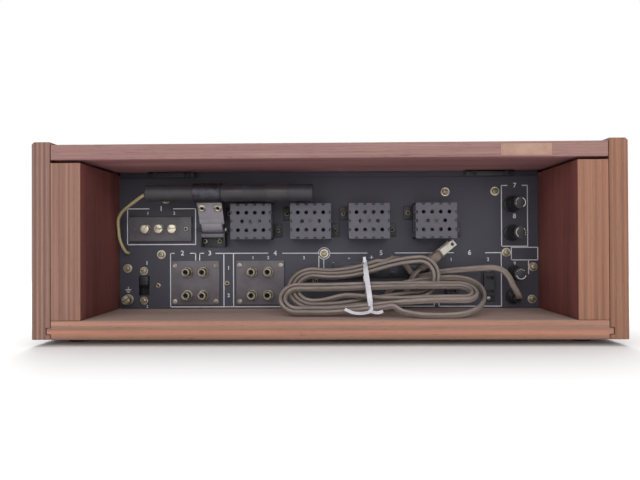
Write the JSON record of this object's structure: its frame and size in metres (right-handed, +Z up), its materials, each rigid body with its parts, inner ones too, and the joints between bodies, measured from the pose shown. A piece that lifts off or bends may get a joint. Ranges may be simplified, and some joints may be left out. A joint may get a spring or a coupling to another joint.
{
  "type": "stereo receiver",
  "caption": "Stereo receiver in a wooden cabinet with a dial front, a recessed rear panel of jacks, terminals, outlets and fuse posts, a swinging bar antenna and a bundled mains cord.",
  "frame": {"origin": "middle of the footprint, at the level of the feet's undersides", "axes": "+X to the right as seen from the dial side, +Y from the dial side to the rear panel, +Z up"},
  "size_m": [0.488, 0.374, 0.169],
  "materials": {
    "walnut": "satin oiled veneer",
    "plywood": "bare plywood with a dusty upper face",
    "mahogany": "dull stained",
    "rubber": "matte",
    "plated_steel": "aged zinc plating",
    "chassis_steel": "dull plated sheet",
    "panel_paint": "satin blue-black paint",
    "cover_paint": "matte grey paint",
    "transformer_paint": "black varnish",
    "aluminium": "satin",
    "board_laminate": "phenolic paper laminate",
    "dial_glass": "smoked, clear",
    "dial_black": "gloss black with a printed scale",
    "pointer_red": "red orange",
    "dark_plastic": "dark grey phenolic",
    "strip_plastic": "worn phenolic",
    "black_plastic": "moulded, slightly glossy",
    "arm_metal": "dull light grey",
    "ferrite": "dark grey sleeve with glossy tape",
    "lead_vinyl": "yellowed clear vinyl",
    "cord_vinyl": "satin brown-grey vinyl",
    "plug_vinyl": "moulded vinyl with plated blades"
  },
  "bodies": {
    "receiver": {"cabinet_side_left": "walnut", "cabinet_side_right": "walnut", "cabinet_top": "walnut", "cabinet_bottom": "plywood", "side_liner_left": "mahogany", "side_liner_right": "mahogany", "foot_front_left": "rubber", "foot_front_right": "rubber", "foot_rear_left": "rubber", "foot_rear_right": "rubber", "hold_down_bracket_left": "plated_steel", "hold_down_bracket_right": "plated_steel", "chassis_pan": "chassis_steel", "rear_panel": "panel_paint", "power_transformer": "transformer_paint", "filter_capacitor": "aluminium", "circuit_board": "board_laminate", "tuning_capacitor": "aluminium", "faceplate": "aluminium", "dial_window": "dial_glass", "dial_scale": "dial_black", "control_board": "board_laminate", "transistor_cover_1": "cover_paint", "transistor_cover_2": "cover_paint", "transistor_cover_3": "cover_paint", "transistor_cover_4": "cover_paint", "antenna_terminals": "strip_plastic", "phono_jacks": "dark_plastic", "tape_jacks": "dark_plastic", "din_socket": "dark_plastic", "speaker_terminals": "strip_plastic", "ac_outlet_unswitched": "black_plastic", "ac_outlet_switched": "black_plastic", "fuse_holder_1": "black_plastic", "fuse_holder_2": "black_plastic", "fuse_holder_3": "black_plastic", "antenna_hinge": "plated_steel", "antenna_lead": "lead_vinyl", "strain_relief": "black_plastic", "power_cord_lead": "cord_vinyl", "power_cord_hank": "cord_vinyl", "power_cord_tail": "cord_vinyl", "power_plug": "plug_vinyl"},
    "bar_antenna": {"antenna_arm": "arm_metal", "ferrite_antenna": "ferrite"},
    "level_slider": {"level_switch_slider": "black_plastic"},
    "upper_fuse": {"fuse_cap_1": "black_plastic"},
    "middle_fuse": {"fuse_cap_2": "black_plastic"},
    "lower_fuse": {"fuse_cap_3": "black_plastic"},
    "tuning_spindle": {"tuning_shaft": "plated_steel", "tuning_knob": "aluminium"},
    "drum": {"tuning_drum": "dark_plastic", "capacitor_rotor": "aluminium"},
    "pointer": {"dial_pointer": "pointer_red"},
    "volume": {"volume_knob": "aluminium"},
    "balance": {"balance_knob": "aluminium"},
    "treble": {"treble_knob": "aluminium"},
    "bass": {"bass_knob": "aluminium"},
    "selector": {"selector_knob": "aluminium"},
    "power": {"power_button": "black_plastic"}
  },
  "joints": [
    {"name": "antenna_swing", "type": "hinge", "parent": "receiver", "child": "bar_antenna", "pos_m": [0.1092, 0.1163, 0.0977], "axis": [-1, 0, 0], "range_deg": [-15, 60], "deforming": ["antenna_lead"]},
    {"name": "level_slide", "type": "slide", "parent": "receiver", "child": "level_slider", "axis": [0, 0, 1], "range_m": [-0.0091, 0]},
    {"name": "upper_fuse_pull", "type": "slide", "parent": "receiver", "child": "upper_fuse", "axis": [0, 1, 0], "range_m": [0, 0.045]},
    {"name": "middle_fuse_pull", "type": "slide", "parent": "receiver", "child": "middle_fuse", "axis": [0, 1, 0], "range_m": [0, 0.045]},
    {"name": "lower_fuse_pull", "type": "slide", "parent": "receiver", "child": "lower_fuse", "axis": [0, 1, 0], "range_m": [0, 0.045]},
    {"name": "tuning_turn", "type": "hinge", "parent": "receiver", "child": "tuning_spindle", "pos_m": [0.168, -0.161, 0.1095], "axis": [0, 1, 0], "range_deg": [-1080, 1080]},
    {"name": "drum_turn", "type": "hinge", "parent": "receiver", "child": "drum", "pos_m": [0.034, -0.142, 0.0965], "axis": [0, 1, 0], "range_deg": [-90, 90]},
    {"name": "pointer_travel", "type": "slide", "parent": "receiver", "child": "pointer", "axis": [1, 0, 0], "range_m": [-0.0765, 0.0765]},
    {"name": "volume_turn", "type": "hinge", "parent": "receiver", "child": "volume", "pos_m": [0.08592, -0.166, 0.0485], "axis": [0, 1, 0], "range_deg": [-150, 150]},
    {"name": "balance_turn", "type": "hinge", "parent": "receiver", "child": "balance", "pos_m": [0.008, -0.166, 0.0485], "axis": [0, 1, 0], "range_deg": [-150, 150]},
    {"name": "treble_turn", "type": "hinge", "parent": "receiver", "child": "treble", "pos_m": [-0.05804, -0.166, 0.0485], "axis": [0, 1, 0], "range_deg": [-150, 150]},
    {"name": "bass_turn", "type": "hinge", "parent": "receiver", "child": "bass", "pos_m": [-0.11196, -0.166, 0.0485], "axis": [0, 1, 0], "range_deg": [-150, 150]},
    {"name": "selector_turn", "type": "hinge", "parent": "receiver", "child": "selector", "pos_m": [-0.18006, -0.166, 0.0485], "axis": [0, 1, 0], "range_deg": [-75, 75]},
    {"name": "power_press", "type": "slide", "parent": "receiver", "child": "power", "axis": [0, 1, 0], "range_m": [0, 0.004], "stiffness_N_per_m": 250}
  ],
  "couplings": [
    {"joint": "drum_turn", "follows": "tuning_turn", "ratio": 0.082474},
    {"joint": "pointer_travel", "follows": "tuning_turn", "m_per_rad": 0.004}
  ]
}
